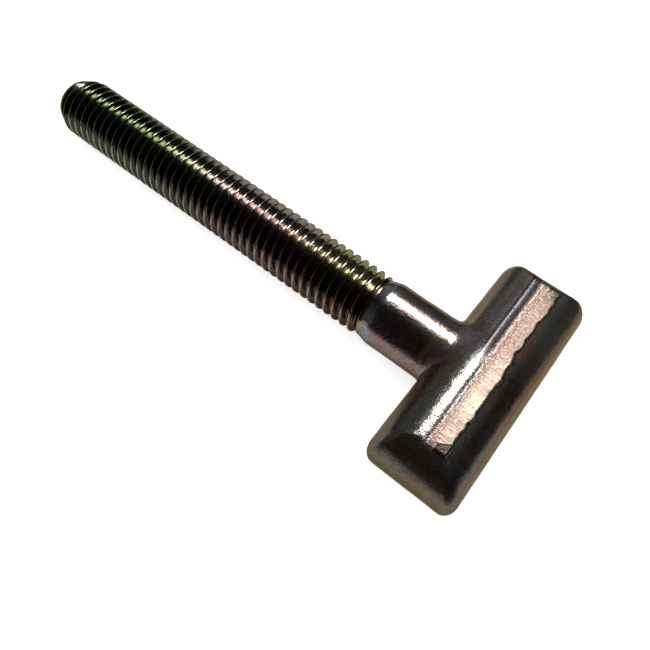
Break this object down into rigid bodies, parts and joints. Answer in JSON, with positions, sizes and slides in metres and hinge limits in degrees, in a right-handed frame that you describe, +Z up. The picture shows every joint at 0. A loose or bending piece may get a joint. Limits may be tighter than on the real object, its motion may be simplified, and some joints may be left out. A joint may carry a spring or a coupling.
{
  "type": "t slot bolt",
  "caption": "Forged T-head bolt: a round bar head with domed ends across a plain neck and a long coarse-threaded shank.",
  "frame": {"origin": "where the shank's axis crosses the axis of the round bar head", "axes": "+X along the shank from the head to the threaded tip, +Y along the head, +Z up with the bolt lying on its side"},
  "size_m": [0.106, 0.043, 0.016],
  "materials": {
    "zinc_plate": "yellow passivated zinc plating over forged steel, with green and pink iridescence"
  },
  "bodies": {
    "root": {"t_bolt": "zinc_plate"}
  },
  "joints": []
}
